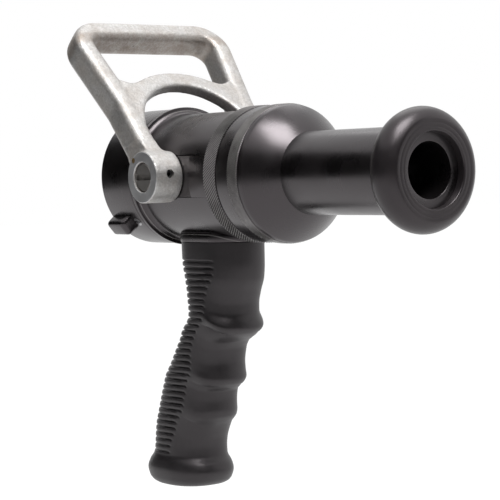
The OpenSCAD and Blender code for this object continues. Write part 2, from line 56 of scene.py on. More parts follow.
def highX(node):
    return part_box(node)[1].x / mm


# A closed outline of (x, radius, rounding) in millimetres, spun round the flow axis
def turnedShell(outline, steps=192, fillet=6):
    bm = bmesh.new()
    corners = [bm.verts.new((x * mm, 0, r * mm)) for x, r, soft in outline]
    bm.faces.new(corners)
    for soft in sorted({row[2] for row in outline if row[2]}):
        picked = [v for v, row in zip(corners, outline) if row[2] == soft]
        bmesh.ops.bevel(bm, geom=picked, offset=soft * mm, offset_type="OFFSET", affect="VERTICES",
                        segments=fillet, profile=0.5, material=-1)
    bmesh.ops.delete(bm, geom=bm.faces[:], context="FACES_ONLY")
    bmesh.ops.spin(bm, geom=bm.verts[:] + bm.edges[:], cent=(0, 0, 0), axis=(1, 0, 0),
                   angle=math.tau, steps=steps, use_merge=True)
    bmesh.ops.remove_doubles(bm, verts=bm.verts[:], dist=1e-6)
    bmesh.ops.recalc_face_normals(bm, faces=bm.faces[:])
    return bm


# A round bar between two points, closed at both ends
def bar(bm, start, end, radius, segments=48):
    start, end = Vector(start), Vector(end)
    turn = (end - start).to_track_quat("Z", "Y").to_matrix().to_4x4()
    place = Matrix.Translation((start + end) / 2 * mm) @ turn
    bmesh.ops.create_cone(bm, cap_ends=True, segments=segments, radius1=radius * mm, radius2=radius * mm,
                          depth=(end - start).length * mm, matrix=place)


# One ridge of a thread, wound along the flow axis and closed at its ends
def threadRidge(start, end, root, crest, pitch=2.822, stepsPerTurn=72):
    bm = bmesh.new()
    turns = (end - start) / pitch - 1
    steps = int(turns * stepsPerTurn)
    profile = [(0.02, root), (0.40, crest), (0.60, crest), (0.98, root)]
    ring = [bm.verts.new(((start + pitch * share) * mm, 0, r * mm)) for share, r in profile]
    bm.faces.new(ring)
    bmesh.ops.spin(bm, geom=bm.verts[:] + bm.edges[:] + bm.faces[:], cent=(0, 0, 0), axis=(1, 0, 0),
                   angle=math.tau * turns, steps=steps, dvec=(pitch * turns / steps * mm, 0, 0))
    rims = [e for e in bm.edges if len(e.link_faces) == 1]
    bmesh.ops.holes_fill(bm, edges=rims, sides=4)
    bmesh.ops.recalc_face_normals(bm, faces=bm.faces[:])
    return bm


# Extrudes one face along a vector
def thicken(bm, face, way):
    grown = bmesh.ops.extrude_face_region(bm, geom=[face])["geom"]
    moved = [v for v in grown if isinstance(v, bmesh.types.BMVert)]
    bmesh.ops.translate(bm, vec=way, verts=moved)
    bmesh.ops.recalc_face_normals(bm, faces=bm.faces[:])


def joinInto(bm, other):
    spare = bpy.data.meshes.new("spare")
    other.to_mesh(spare)
    other.free()
    bm.from_mesh(spare)
    bpy.data.meshes.remove(spare)


# Faces that meet at more than sharpAngle keep a crisp edge
def shade(mesh, sharpAngle):
    bm = bmesh.new()
    bm.from_mesh(mesh)
    for face in bm.faces:
        face.smooth = True
    for edge in bm.edges:
        edge.smooth = len(edge.link_faces) != 2 or edge.calc_face_angle(0) < math.radians(sharpAngle)
    bm.to_mesh(mesh)
    bm.free()


def makeMesh(name, bm):
    mesh = bpy.data.meshes.new(name)
    bm.to_mesh(mesh)
    bm.free()
    made = bpy.data.objects.new(name, mesh)
    bpy.context.scene.collection.objects.link(made)
    return made


# Applies the modifiers on a piece to its mesh
def applyModifiers(piece):
    evaluated = piece.evaluated_get(bpy.context.evaluated_depsgraph_get())
    mesh = bpy.data.meshes.new_from_object(evaluated)
    piece.modifiers.clear()
    old = piece.data
    piece.data = mesh
    bpy.data.meshes.remove(old)


# Cuts a shape away from a piece, or fuses it on with UNION
def cutAway(piece, cutterShape, operation="DIFFERENCE"):
    cutter = makeMesh("cutter", cutterShape)
    cut = piece.modifiers.new("cut", "BOOLEAN")
    cut.operation = operation
    cut.solver = "EXACT"
    cut.object = cutter
    applyModifiers(piece)
    bpy.data.objects.remove(cutter)


# Finishes a piece that takes the place of CAD nodes on a body
def settle(piece, body, material, replaced, sharpAngle):
    piece.data.materials.clear()
    piece.data.materials.append(material)
    shade(piece.data, sharpAngle)
    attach(piece, body)
    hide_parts(*replaced)



def newGroup(name, inputs, outputs):
    tree = bpy.data.node_groups.new(name, "ShaderNodeTree")
    for label, value in inputs.items():
        tree.interface.new_socket(label, in_out="INPUT", socket_type="NodeSocketFloat").default_value = value
    for label in outputs:
        tree.interface.new_socket(label, in_out="OUTPUT", socket_type="NodeSocketFloat")
    return tree, tree.nodes.new("NodeGroupInput"), tree.nodes.new("NodeGroupOutput")


# Adds a node, sets its properties, and feeds its inputs with values or other sockets
def addNode(tree, kind, inputs=None, **settings):
    node = tree.nodes.new(kind)
    for label, value in settings.items():
        setattr(node, label, value)
    for label, value in (inputs or {}).items():
        if isinstance(value, bpy.types.NodeSocket):
            tree.links.new(value, node.inputs[label])
        else:
            node.inputs[label].default_value = value
    return node


def calc(tree, operation, a, b=0.0, clamp=False):
    return addNode(tree, "ShaderNodeMath", {0: a, 1: b}, operation=operation, use_clamp=clamp).outputs[0]


def remap(tree, value, low, high, toLow=0.0, toHigh=1.0):
    return addNode(tree, "ShaderNodeMapRange", {"Value": value, "From Min": low, "From Max": high,
                                                "To Min": toLow, "To Max": toHigh}).outputs["Result"]


def noise(tree, vector, size, detail=2.0, roughness=0.5):
    return addNode(tree, "ShaderNodeTexNoise", {"Vector": vector, "Scale": 1 / (size * mm), "Detail": detail,
                                                "Roughness": roughness}).outputs["Fac"]


# Object coordinates, whole and split
def splitPlace(tree):
    place = addNode(tree, "ShaderNodeTexCoord").outputs["Object"]
    return place, addNode(tree, "ShaderNodeSeparateXYZ", {"Vector": place}).outputs


# Length of a vector given by some of its sides
def lengthOf(tree, sides):
    flat = addNode(tree, "ShaderNodeCombineXYZ", sides).outputs[0]
    return addNode(tree, "ShaderNodeVectorMath", {0: flat}, operation="LENGTH").outputs["Value"]


# Fine lathe lines that run round the flow axis, with faint smudges from handling
def makeTurnedFinish():
    tree, given, out = newGroup("turnedFinish", {"Line Width": 0.12}, ["Lines", "Smudge"])
    place, part = splitPlace(tree)
    reach = lengthOf(tree, {"Y": part["Y"], "Z": part["Z"]})
    lathe = addNode(tree, "ShaderNodeCombineXYZ", {"X": part["X"], "Y": reach}).outputs[0]
    perMetre = calc(tree, "DIVIDE", 1000.0, given.outputs["Line Width"])
    lines = addNode(tree, "ShaderNodeTexNoise", {"Vector": lathe, "Scale": perMetre, "Detail": 2.0},
                    noise_dimensions="2D").outputs["Fac"]
    tree.links.new(lines, out.inputs["Lines"])
    tree.links.new(noise(tree, place, 17, 2.0, 0.5), out.inputs["Smudge"])
    return tree


# Sand-cast skin: grain, shallow waves, scattered pits and a dull stain
def makeCastSkin():
    tree, given, out = newGroup("castSkin", {"Pit Amount": 0.5}, ["Grain", "Specks", "Pits", "Stain"])
    place = addNode(tree, "ShaderNodeTexCoord").outputs["Object"]
    fine = noise(tree, place, 0.9, 3.0, 0.7)
    coarse = noise(tree, place, 2.6, 3.0, 0.6)
    grain = calc(tree, "ADD", calc(tree, "MULTIPLY", fine, 0.6), calc(tree, "MULTIPLY", coarse, 0.4))
    cells = addNode(tree, "ShaderNodeTexVoronoi", {"Vector": place, "Scale": 1 / (2.6 * mm)})
    dot = remap(tree, cells.outputs["Distance"], 0.17, 0.09)
    allowed = calc(tree, "MULTIPLY", given.outputs["Pit Amount"], 0.3)
    few = remap(tree, noise(tree, place, 7.0, 2.0), calc(tree, "SUBTRACT", 0.80, allowed), 0.70)
    tree.links.new(grain, out.inputs["Grain"])
    tree.links.new(remap(tree, noise(tree, place, 1.1, 4.0, 0.75), 0.36, 0.62), out.inputs["Specks"])
    tree.links.new(calc(tree, "MULTIPLY", dot, few, True), out.inputs["Pits"])
    tree.links.new(remap(tree, noise(tree, place, 9.0, 5.0, 0.65), 0.42, 0.66), out.inputs["Stain"])
    return tree


# Spark-eroded mould texture with soft dull patches
def makeMouldedSkin():
    tree, given, out = newGroup("mouldedSkin", {"Grain Size": 0.35}, ["Grain", "Patches"])
    place = addNode(tree, "ShaderNodeTexCoord").outputs["Object"]
    perMetre = calc(tree, "DIVIDE", 1000.0, given.outputs["Grain Size"])
    grain = addNode(tree, "ShaderNodeTexNoise", {"Vector": place, "Scale": perMetre, "Detail": 3.0,
                                                 "Roughness": 0.6}).outputs["Fac"]
    tree.links.new(grain, out.inputs["Grain"])
    tree.links.new(noise(tree, place, 18, 3.0, 0.55), out.inputs["Patches"])
    return tree


turnedFinish, castSkin, mouldedSkin = makeTurnedFinish(), makeCastSkin(), makeMouldedSkin()


def newMaterial(name, **fixed):
    material = bpy.data.materials.new(name)
    material.use_nodes = True
    tree = material.node_tree
    surface = tree.nodes["Principled BSDF"]
    for label, value in fixed.items():
        surface.inputs[label.replace("_", " ")].default_value = value
    return material, tree, surface


def placeGroup(tree, group, **inputs):
    node = tree.nodes.new("ShaderNodeGroup")
    node.node_tree = group
    for label, value in inputs.items():
        node.inputs[label.replace("_", " ")].default_value = value
    return node.outputs


# Mixes two colours, each an RGB triple or a socket
def mixColour(tree, share, *colours):
    first, second = [c if isinstance(c, bpy.types.NodeSocket) else (*c, 1) for c in colours]
    return addNode(tree, "ShaderNodeMix", {"Factor": share, 6: first, 7: second}, data_type="RGBA").outputs[2]


def bump(tree, surface, height, depth):
    node = addNode(tree, "ShaderNodeBump", {"Height": height, "Distance": depth * mm, "Strength": 1.0})
    tree.links.new(node.outputs["Normal"], surface.inputs["Normal"])


# Black hard-anodised aluminium, turned. What stands just above the given radius, the knurl crests, is painted
# paler:
# partly wear, partly a painted highlight where the crests catch light. The lugs stand far above it and stay
# black.
def makeAnodised(name, shades, roughness, lineWidth, lineDepth, wearAndGlintRadius, wearAndGlintColour):
    material, tree, surface = newMaterial(name, IOR=1.68, Specular_Tint=(1.0, 0.91, 0.95, 1))
    finish = placeGroup(tree, turnedFinish, Line_Width=lineWidth)
    smudge = remap(tree, finish["Smudge"], 0.35, 0.7)
    place, part = splitPlace(tree)
    reach = lengthOf(tree, {"Y": part["Y"], "Z": part["Z"]})
    patchy = remap(tree, noise(tree, place, 6, 3.0), 0.25, 0.6, 0.55, 1.0)
    # Knurl crests painted paler: partly wear, partly a painted highlight
    wearAndGlint = calc(tree, "MULTIPLY", remap(tree, reach, wearAndGlintRadius * mm, (wearAndGlintRadius + 0.22) * mm), patchy)
    notLug = calc(tree, "LESS_THAN", reach, (wearAndGlintRadius + 0.5) * mm)
    plain = mixColour(tree, smudge, *shades)
    crestWearAndGlint = mixColour(tree, calc(tree, "MULTIPLY", wearAndGlint, notLug), plain, wearAndGlintColour)
    tree.links.new(crestWearAndGlint, surface.inputs["Base Color"])
    rough = calc(tree, "ADD", remap(tree, finish["Smudge"], 0.3, 0.75, *roughness),
                 calc(tree, "MULTIPLY", finish["Lines"], 0.05))
    tree.links.new(rough, surface.inputs["Roughness"])
    bump(tree, surface, finish["Lines"], lineDepth)
    return material


# Bare turned metal
def makeMetal(name, shades, roughness, metallic=1.0, lineWidth=0.1, lineDepth=0.004):
    material, tree, surface = newMaterial(name, Metallic=metallic)
    finish = placeGroup(tree, turnedFinish, Line_Width=lineWidth)
    smudge = remap(tree, finish["Smudge"], 0.3, 0.7)
    tree.links.new(mixColour(tree, smudge, *shades), surface.inputs["Base Color"])
    tree.links.new(remap(tree, finish["Smudge"], 0.3, 0.75, *roughness), surface.inputs["Roughness"])
    bump(tree, surface, finish["Lines"], lineDepth)
    return material


casting = {"machinedY": 42.75, "machinedReach": 13, "brownBandHeight": 84, "grainDepth": 0.42}


# Raw cast aluminium. The hub's faces, beyond machinedY and near the pivot, are smooth.
def makeCasting(name, s):
    material, tree, surface = newMaterial(name, Metallic=0.8)
    skin = placeGroup(tree, castSkin, Pit_Amount=0.5)
    place, part = splitPlace(tree)
    fromPivot = calc(tree, "SUBTRACT", part["X"], pivotX * mm)
    near = calc(tree, "LESS_THAN", lengthOf(tree, {"X": fromPivot, "Z": part["Z"]}), s["machinedReach"] * mm)
    beyond = calc(tree, "GREATER_THAN", calc(tree, "ABSOLUTE", part["Y"]), s["machinedY"] * mm)
    machined = calc(tree, "MULTIPLY", beyond, near)
    plain = mixColour(tree, skin["Stain"], (0.56, 0.55, 0.54), (0.47, 0.44, 0.415))
    dull = calc(tree, "MULTIPLY", calc(tree, "SUBTRACT", 1.0, skin["Specks"]), 0.5)
    specked = mixColour(tree, dull, plain, (0.25, 0.235, 0.22))
    # A mottled brown band is painted along the lower, inner side of the crossbar
    lean = math.radians(bailTilt)
    height = calc(tree, "SUBTRACT", calc(tree, "MULTIPLY", part["Z"], math.cos(lean)),
                  calc(tree, "MULTIPLY", fromPivot, math.sin(lean)))
    away = calc(tree, "ABSOLUTE", calc(tree, "SUBTRACT", height, s["brownBandHeight"] * mm))
    crossbarBrownBand = calc(tree, "MULTIPLY", remap(tree, away, 5 * mm, 2 * mm, 0.0, 0.75),
                   noise(tree, place, 4, 4.0, 0.7))
    cast = mixColour(tree, crossbarBrownBand, specked, (0.19, 0.12, 0.07))
    pitted = mixColour(tree, skin["Pits"], cast, (0.06, 0.05, 0.045))
    tree.links.new(mixColour(tree, machined, pitted, (0.55, 0.55, 0.56)), surface.inputs["Base Color"])
    rough = calc(tree, "SUBTRACT", remap(tree, skin["Stain"], 0.0, 1.0, 0.40, 0.56),
                 calc(tree, "MULTIPLY", machined, 0.06))
    tree.links.new(rough, surface.inputs["Roughness"])
    relief = calc(tree, "SUBTRACT", skin["Grain"], calc(tree, "MULTIPLY", skin["Pits"], 1.2))
    kept = calc(tree, "SUBTRACT", 1.0, calc(tree, "MULTIPLY", machined, 0.75))
    bump(tree, surface, calc(tree, "MULTIPLY", relief, kept), s["grainDepth"])
    return material


# Moulded plastic or rubber
def makeMoulding(name, shades, roughness, grainSize, grainDepth, tint=(1, 1, 1, 1)):
    material, tree, surface = newMaterial(name, IOR=1.5, Specular_Tint=tint)
    skin = placeGroup(tree, mouldedSkin, Grain_Size=grainSize)
    patches = remap(tree, skin["Patches"], 0.35, 0.65)
    tree.links.new(mixColour(tree, patches, *shades), surface.inputs["Base Color"])
    tree.links.new(remap(tree, skin["Patches"], 0.3, 0.7, *roughness), surface.inputs["Roughness"])
    bump(tree, surface, skin["Grain"], grainDepth)
    return material


blacks = ((0.0035, 0.003, 0.0032), (0.008, 0.007, 0.0075))
# The last colour in each line is the paler crest colour: partly wear, partly a painted highlight
blackShell = makeAnodised("black_anodised", blacks, (0.22, 0.32), 0.14, 0.0012, 31.24, (0.17, 0.165, 0.16))
blackKnurl = makeAnodised("black_knurled", blacks, (0.26, 0.36), 0.3, 0.002, 31.20, (0.20, 0.195, 0.19))
castMetal = makeCasting("cast_aluminium", casting)
plainSteel = makeMetal("plain_steel", ((0.56, 0.56, 0.57), (0.44, 0.44, 0.45)), (0.26, 0.40))
stemSteel = makeMetal("stem_steel", ((0.30, 0.285, 0.275), (0.20, 0.19, 0.18)), (0.32, 0.44), 0.7)
screwSteel = makeMetal("black_oxide", ((0.05, 0.05, 0.05), (0.03, 0.03, 0.03)), (0.34, 0.46), 0.6)
ballMetal = makeMetal("ball_metal", ((0.70, 0.70, 0.71), (0.62, 0.62, 0.64)), (0.14, 0.24))
brassMetal = makeMetal("pin_brass", ((0.66, 0.47, 0.22), (0.48, 0.32, 0.15)), (0.30, 0.44))
gripPlastic = makeMoulding("grip_moulding", ((0.017, 0.0155, 0.0165), (0.025, 0.0225, 0.024)), (0.38, 0.48),
                           0.3, 0.025, (1.0, 0.93, 0.96, 1))
bumperRubber = makeMoulding("bumper_rubber", ((0.014, 0.012, 0.013), (0.021, 0.018, 0.019)), (0.28, 0.38),
                            0.6, 0.004, (1.0, 0.91, 0.95, 1))
sealRubber = makeMoulding("seal_rubber", ((0.020, 0.020, 0.021), (0.030, 0.030, 0.031)), (0.52, 0.66),
                          0.4, 0.01)
whiteSeat = makeMoulding("seat_plastic", ((0.84, 0.84, 0.81), (0.76, 0.76, 0.73)), (0.38, 0.50), 0.6, 0.004)

slotFinish = {"anodised": blackShell, "casting": castMetal, "steel": plainSteel, "dark_steel": stemSteel,
              "ball_metal": ballMetal, "brass": brassMetal, "seal": sealRubber, "bumper": bumperRubber,
              "ptfe": whiteSeat, "moulding": gripPlastic}
for row in frame["record"]["subparts"]:
    for holder in frame["nodes"][row["node"]].material_slots:
        holder.material = screwSteel if row["node"] == "bail_set_screws" else slotFinish[row["material_slot"]]
print("finishes made")

coupling = {"radius": 32.7, "rearEdge": 0.9, "frontEdge": 1.0, "threadRoot": 24.9, "threadCrest": 23.6,
            "threadLength": 12.4, "gasketRadius": 26.2, "gasketEnd": 16.0, "spigotRadius": 27.05,
            "lugAngle": 41, "lugHeight": 5.8, "lugWidth": 8.4, "lugRound": 2.1, "lugSink": 2.2,
            "lugStart": 1.0, "lugFootEnd": 16.0, "lugTopEnd": 14.8, "plugRadius": 2.36, "plugFoot": 28.9}


def makeCoupling(s):
    x0, x1 = lowX("swivel_coupling"), highX("swivel_coupling")
    mouth = s["threadLength"]
    bm = turnedShell([
        (x0, s["threadRoot"] + 0.9, 0.3), (x0, s["radius"], s["rearEdge"]), (x1, s["radius"], s["frontEdge"]),
        (x1, s["spigotRadius"], 0.2), (x0 + s["gasketEnd"], s["spigotRadius"], 0),
        (x0 + s["gasketEnd"], s["gasketRadius"], 0), (x0 + mouth, s["gasketRadius"], 0),
        (x0 + mouth, s["threadCrest"], 0.2),
        (x0 + mouth - 0.6, s["threadRoot"], 0), (x0 + 0.9, s["threadRoot"], 0.1)])
    joinInto(bm, threadRidge(x0 + 0.3, x0 + mouth + 0.3, s["threadRoot"] + 0.15, s["threadCrest"]))
    piece = makeMesh("coupling_shell", bm)
    # Rocker lugs: a block with a sloped front end, rounded all over and sunk in the shell
    foot, crest = s["radius"] - s["lugSink"], s["radius"] + s["lugHeight"]
    side = [(s["lugStart"], foot), (s["lugFootEnd"], foot), (s["lugTopEnd"], crest), (s["lugStart"], crest)]
    lugs = bmesh.new()
    for turn in (s["lugAngle"], s["lugAngle"] + 180):
        lug = bmesh.new()
        face = lug.faces.new([lug.verts.new((x * mm, -r * mm, -s["lugWidth"] / 2 * mm)) for x, r in side])
        thicken(lug, face, (0, 0, s["lugWidth"] * mm))
        bmesh.ops.bevel(lug, geom=lug.edges[:], offset=s["lugRound"] * mm, offset_type="OFFSET",
                        affect="EDGES", segments=5, profile=0.5, material=-1, clamp_overlap=True)
        bmesh.ops.rotate(lug, cent=(0, 0, 0), verts=lug.verts[:],
                         matrix=Matrix.Rotation(math.radians(turn), 3, "X"))
        joinInto(lugs, lug)
    cutAway(piece, lugs, "UNION")
    hole = bmesh.new()
    out = Vector((0, -1, 0))
    out.rotate(Matrix.Rotation(math.radians(s["lugAngle"]), 3, "X"))
    along = Vector((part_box("race_plug")[0].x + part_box("race_plug")[1].x, 0, 0)) / 2 / mm
    bar(hole, along + out * s["plugFoot"], along + out * 45, s["plugRadius"])
    cutAway(piece, hole)
    settle(piece, "swivel", blackShell, ["swivel_coupling"], 24)


makeCoupling(coupling)
print("coupling made")

shell = {"radius": 29.7, "flange": 33.3, "flangeRim": 1.9, "hollow": 3.6, "spigot": 27.0, "bore": 15.1,
         "cavity": 24.0, "cavityBack": 15.3, "pocket": 20.05, "pocketBack": 20.5, "collarSeat": 25.6,
         "collarSeatX": 20.4, "flatY": 28.0, "flatHalf": 17.8, "edge": 0.18, "stem": 6.85}


def makeBody(s):
    x0, x1 = lowX("valve_body"), highX("valve_body")
    rim = highX("swivel_coupling") + 1.1
    fillet = rim + s["flangeRim"]
    # The hollow behind the flange is a quarter circle that turns into the plain barrel
    bm = turnedShell([
        (x0, s["bore"], 0.4), (x0, s["spigot"], 0.5), (rim, s["spigot"], 0), (rim, s["flange"], 0.3),
        (fillet, s["flange"], 0.3), (fillet + 0.02, s["radius"], s["hollow"]), (x1, s["radius"], 0.3),
        (x1, s["collarSeat"], 0), (pivotX + s["collarSeatX"], s["collarSeat"], 0),
        (pivotX + s["collarSeatX"], s["cavity"], 0), (pivotX - s["cavityBack"], s["cavity"], 0),
        (pivotX - s["cavityBack"], s["pocket"], 0), (pivotX - s["pocketBack"], s["pocket"], 0),
        (pivotX - s["pocketBack"], s["bore"], 0)], steps=240, fillet=9)
    piece = makeMesh("body_shell", bm)
    cuts = bmesh.new()
    for side in (-1, 1):
        middle = Matrix.Translation(Vector((pivotX, side * (s["flatY"] + 5), 0)) * mm)
        size = Matrix.Diagonal(Vector((2 * s["flatHalf"], 10, 70, 1000)) * mm)
        bmesh.ops.create_cube(cuts, size=1, matrix=middle @ size)
    cutAway(piece, cuts)
    stems = bmesh.new()
    bar(stems, (pivotX, -40, 0), (pivotX, 40, 0), s["stem"], 96)
    cutAway(piece, stems)
    rounded = piece.modifiers.new("edges", "BEVEL")
    rounded.limit_method = "ANGLE"
    rounded.angle_limit = math.radians(16)
    rounded.width = s["edge"] * mm
    rounded.segments = 2
    rounded.use_clamp_overlap = True
    applyModifiers(piece)
    settle(piece, "body", blackShell, ["valve_body"], 14)


makeBody(shell)
print("body made")

collar = {"knurl": 31.6, "ringEnd": 92.1, "ringStart": 83.0, "teeth": 150, "depth": 0.58, "slant": 37,
          "rows": 12, "threadRoot": 23.75, "threadCrest": 24.9, "seat": 25.5, "seatStart": 20.6,
          "seatEnd": 31.4, "nose": 23.8, "bore": 15.1}


# Straight teeth on a ring, wound round by the slant
def cutCoarseKnurl(bm, s):
    steps = 2 * s["teeth"]
    twist = math.tan(math.radians(s["slant"])) / s["knurl"]
    for v in bm.verts:
        x, reach = v.co.x / mm, math.hypot(v.co.y, v.co.z) / mm
        turn = math.atan2(v.co.y, v.co.z)
        onRing = reach > s["knurl"] - 0.02 and s["ringStart"] < x < s["ringEnd"]
        if onRing and round(turn / math.tau * steps) % 2:
            reach -= s["depth"]
        turn += twist * (min(max(x, s["ringStart"]), s["ringEnd"]) - s["ringStart"])
        v.co.y, v.co.z = reach * math.sin(turn) * mm, reach * math.cos(turn) * mm


def makeCollar(s):
    x0, x1 = lowX("outlet_collar"), highX("outlet_collar")
    seatStart, seatEnd, gap = pivotX + s["seatStart"], pivotX + s["seatEnd"], shell["radius"] - 1.2
    first, last = s["ringStart"] + 0.35, s["ringEnd"] - 0.35
    rows = [(first + (last - first) * i / s["rows"], s["knurl"], 0) for i in range(s["rows"] + 1)]
    bm = turnedShell([
        (x0, s["bore"], 0), (x0, s["nose"], 0), (seatStart, s["nose"], 0), (seatStart, s["seat"], 0.2),
        (seatEnd, s["seat"], 0), (seatEnd, gap, 0), (s["ringStart"], gap, 0),
        (s["ringStart"], s["knurl"] - 0.45, 0), *rows, (s["ringEnd"], s["knurl"] - 0.45, 0),
        (s["ringEnd"], s["threadRoot"], 0), (x1, s["threadRoot"], 0.8), (x1, s["bore"], 0.4)],
        steps=2 * s["teeth"], fillet=4)
    cutCoarseKnurl(bm, s)
    joinInto(bm, threadRidge(s["ringEnd"] + 1.6, x1 + 0.6, s["threadRoot"] - 0.15, s["threadCrest"]))
    settle(makeMesh("knurled_collar", bm), "body", blackKnurl, ["outlet_collar"], 24)


makeCollar(collar)
print("collar made")

tip = {"band": 31.2, "knurl": 31.6, "knurlStart": 101.1, "knurlEnd": 108.3, "teeth": 196, "depth": 0.40,
       "rows": 14, "tube": 18.6, "tubeStart": 123.4, "orifice": 11.906, "land": 22.0, "bore": 15.1,
       "seatX": 110.3, "threadRoot": 25.9, "threadCrest": 25.1, "edge": 4.0, "edgeTurn": 35, "arcTurn": 18}


# The shoulder turns in on a small edge radius and runs on a long arc to the tube
def shoulderPoints(s):
    start = s["knurlEnd"] + 0.6
    points = []
    for i in range(9):
        a = math.radians(s["edgeTurn"]) * i / 8
        points.append(Vector((start + s["edge"] * math.sin(a), s["band"] - s["edge"] * (1 - math.cos(a)))))
    first, last = points[-1], Vector((s["tubeStart"], s["tube"]))
    half = math.radians(s["arcTurn"]) / 2
    along = (last - first).normalized()
    out = Vector((-along.y, along.x))
    radius = (last - first).length / 2 / math.sin(half)
    centre = (first + last) / 2 - out * radius * math.cos(half)
    for i in range(1, 17):
        a = half * (i / 8 - 1)
        points.append(centre + radius * (out * math.cos(a) + along * math.sin(a)))
    return points


# Rows of small points, each row half a tooth on from the last
def cutFineKnurl(bm, s):
    steps, pitch = 2 * s["teeth"], (s["knurlEnd"] - s["knurlStart"] - 0.6) / s["rows"]
    for v in bm.verts:
        x, reach = v.co.x / mm, math.hypot(v.co.y, v.co.z) / mm
        if reach < s["knurl"] - 0.02 or not s["knurlStart"] < x < s["knurlEnd"]:
            continue
        row = round((x - s["knurlStart"] - 0.3) / pitch)
        column = round(math.atan2(v.co.y, v.co.z) / math.tau * steps)
        if (row + column) % 2:
            v.co.yz = v.co.yz * (1 - s["depth"] / s["knurl"])


def makeTip(s):
    x0, x1 = lowX("smooth_bore_tip"), highX("smooth_bore_tip")
    first, last = s["knurlStart"] + 0.3, s["knurlEnd"] - 0.3
    rows = [(first + (last - first) * i / s["rows"], s["knurl"], 0) for i in range(s["rows"] + 1)]
    dome = [(p.x, p.y, 0) for p in shoulderPoints(s)]
    bm = turnedShell([
        (x0, s["threadRoot"], 0.3), (x0, s["band"], 0.45), (s["knurlStart"], s["band"], 0), *rows,
        (s["knurlEnd"], s["band"] - 0.1, 0), (s["knurlEnd"] + 0.3, s["band"] - 0.1, 0), *dome,
        (x1, s["tube"], 0.3), (x1, s["orifice"], 0.25), (x1 - s["land"], s["orifice"], 2.0),
        (s["seatX"] + 4, s["bore"], 2.0), (s["seatX"], s["bore"], 0), (s["seatX"], s["threadRoot"], 0)],
        steps=2 * s["teeth"], fillet=5)
    cutFineKnurl(bm, s)
    joinInto(bm, threadRidge(x0 + 0.4, s["seatX"] - 4.0, s["threadRoot"] + 0.15, s["threadCrest"]))
    settle(makeMesh("smooth_bore_tube", bm), "tip", blackShell, ["smooth_bore_tip"], 17)


makeTip(tip)
print("tip made")

bumper = {"radius": 26.5, "face": 21.5, "recess": 16.04, "grooves": (17.7, 19.6), "grooveDepth": 0.03,
          "lip": 0.5, "crown": 28}


def makeBumper(s):
    x0, x1 = lowX("tip_bumper"), highX("tip_bumper")
    half, rise = (x1 - x0) / 2, s["radius"] - s["face"]
    radius = (half * half + rise * rise) / (2 * rise)
    middle = (x0 + x1) / 2
    reach = math.asin(half / radius)
    crown = []
    for i in range(s["crown"] + 1):
        a = reach * (2 * i / s["crown"] - 1)
        crown.append((middle + radius * math.sin(a), s["radius"] - radius * (1 - math.cos(a)),
                      s["lip"] if i in (0, s["crown"]) else 0))
    face = []
    for groove in reversed(s["grooves"]):
        face += [(x1, groove + 0.22, 0), (x1 - s["grooveDepth"], groove, 0), (x1, groove - 0.22, 0)]
    tubeEnd = highX("smooth_bore_tip")
    bm = turnedShell([(x0, tip["tube"] + 0.05, 0.3), *crown, *face, (x1, s["recess"], 0.6),
                      (tubeEnd + 0.05, s["recess"], 0), (tubeEnd + 0.05, tip["tube"] + 0.05, 0)],
                     steps=224, fillet=5)
    settle(makeMesh("bumper_ring", bm), "tip", bumperRubber, ["tip_bumper"], 17)


makeBumper(bumper)
print("bumper made")

bail = {"armY": 35.2, "armWidth": 10.4, "armDepth": 15.0, "corner": 3.5, "knee": 42.0, "splay": 8.0,
        "barHeight": 91.0, "bend": 11.0, "bendSteps": 10, "hub": 11.9, "hubIn": 28.5, "hubOut": 42.9,
        "archInner": 30.8, "archInnerS": 22.04, "archOuter": 45.3, "archOuterS": 15.94, "archDepth": 6.3,
        "archInset": 0.3, "archFoot": (33.5, 44), "voxel": 0.52, "smoothing": 14, "chamfer": 0.45,
        "stem": 6.88, "screwTurn": 34.5, "screw": 2.06, "pinHeight": 10.4, "pin": 1.26, "pinDepth": 5.1}


